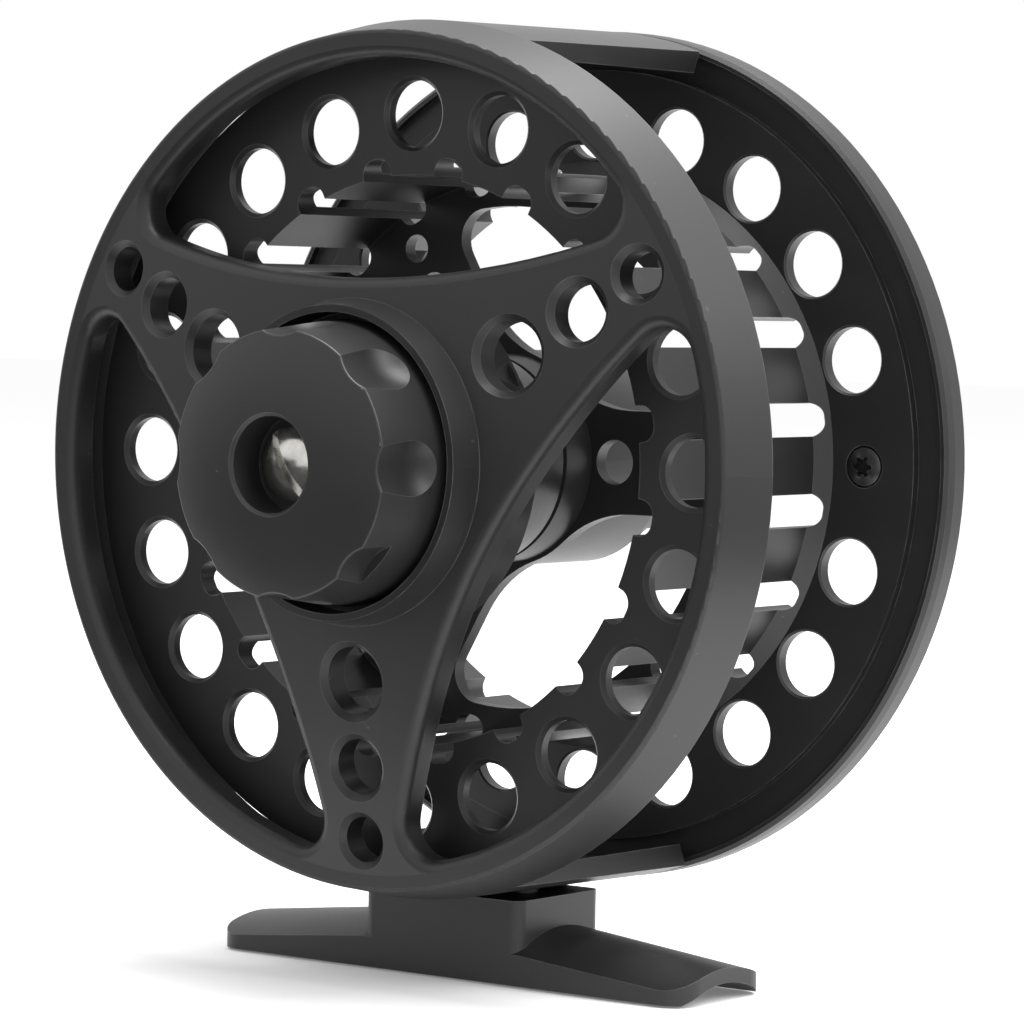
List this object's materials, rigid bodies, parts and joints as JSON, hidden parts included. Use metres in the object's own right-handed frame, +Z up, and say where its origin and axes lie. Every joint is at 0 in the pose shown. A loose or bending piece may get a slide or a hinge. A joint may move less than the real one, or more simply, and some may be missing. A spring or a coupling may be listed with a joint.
{
  "type": "fly reel",
  "caption": "Large-arbor fly reel: open three-legged frame on a rod foot, ported spool with handle and counterweight, disc drag set by a fluted knob, and a click pawl.",
  "frame": {"origin": "under the middle of the foot, on the plane where the foot's two rails sit on the rod's reel seat", "axes": "+Z up from the rod through the spool's axis, +Y along the spool's axis from the drag knob to the handle side, +X along the foot and the rod"},
  "size_m": [0.085, 0.0729, 0.0926],
  "materials": {
    "black_anodised": "fine bead-blasted black anodised aluminium, satin-matte",
    "grey_anodised": "dark grey anodised aluminium, turned, satin",
    "bright_steel": "polished steel",
    "blackened_steel": "blackened steel, satin gloss",
    "stainless_steel": "turned stainless steel",
    "bronze": "sintered bronze, matte",
    "friction_composite": "woven carbon friction composite, matte",
    "black_nylon": "moulded black nylon",
    "handle_grip": "satin black moulded grip"
  },
  "bodies": {
    "frame_body": {"frame": "black_anodised", "reel_foot": "black_anodised", "foot_screws": "blackened_steel", "knob_post": "stainless_steel", "knob_screw": "bright_steel", "detent_spring": "stainless_steel", "detent_ball": "bright_steel", "drag_housing": "grey_anodised", "housing_screws": "blackened_steel", "shaft_bush": "bronze", "spring_washers": "stainless_steel", "friction_discs": "friction_composite", "pawl_pin": "stainless_steel", "pawl_spring": "stainless_steel"},
    "knob_body": {"drag_knob": "black_anodised"},
    "pressure_body": {"drag_nut": "stainless_steel", "thrust_pins": "stainless_steel", "pressure_plate": "stainless_steel"},
    "shaft_body": {"main_shaft": "stainless_steel", "drag_discs": "stainless_steel", "bearing_inner_ring": "stainless_steel", "shaft_screw": "stainless_steel"},
    "spool_body": {"spool": "black_anodised", "click_ring": "black_nylon", "clutch_ring": "grey_anodised", "clutch_rollers": "stainless_steel", "bearing_outer_ring": "stainless_steel", "bearing_balls": "bright_steel", "hub_cap": "black_anodised", "handle_screw": "blackened_steel", "handle_post": "black_anodised", "handle_end_screw": "blackened_steel", "counterweight": "blackened_steel", "counterweight_screw": "blackened_steel"},
    "handle_body": {"handle_knob": "handle_grip"},
    "pawl_body": {"click_pawl": "black_nylon"}
  },
  "joints": [
    {"name": "spool_spin", "type": "hinge", "parent": "frame_body", "child": "spool_body", "pos_m": [0, 0, 0.05015], "axis": [0, 1, 0], "continuous": true},
    {"name": "shaft_turn", "type": "hinge", "parent": "frame_body", "child": "shaft_body", "pos_m": [0, 0, 0.05015], "axis": [0, 1, 0], "continuous": true},
    {"name": "handle_spin", "type": "hinge", "parent": "spool_body", "child": "handle_body", "pos_m": [-0.033, 0, 0.05015], "axis": [0, 1, 0], "continuous": true},
    {"name": "knob_turn", "type": "hinge", "parent": "frame_body", "child": "knob_body", "pos_m": [0, 0, 0.05015], "axis": [0, 1, 0], "range_deg": [0, 315]},
    {"name": "pressure_slide", "type": "slide", "parent": "frame_body", "child": "pressure_body", "axis": [0, 1, 0], "range_m": [0, 0.00071]},
    {"name": "pawl_rock", "type": "hinge", "parent": "frame_body", "child": "pawl_body", "pos_m": [0, 0, 0.05655], "axis": [0, 1, 0], "range_deg": [-10, 10], "stiffness_Nm_per_rad": 0.001, "deforming": ["pawl_spring"]}
  ],
  "couplings": [
    {"joint": "pressure_slide", "follows": "knob_turn", "m_per_rad": 0.00012732}
  ]
}
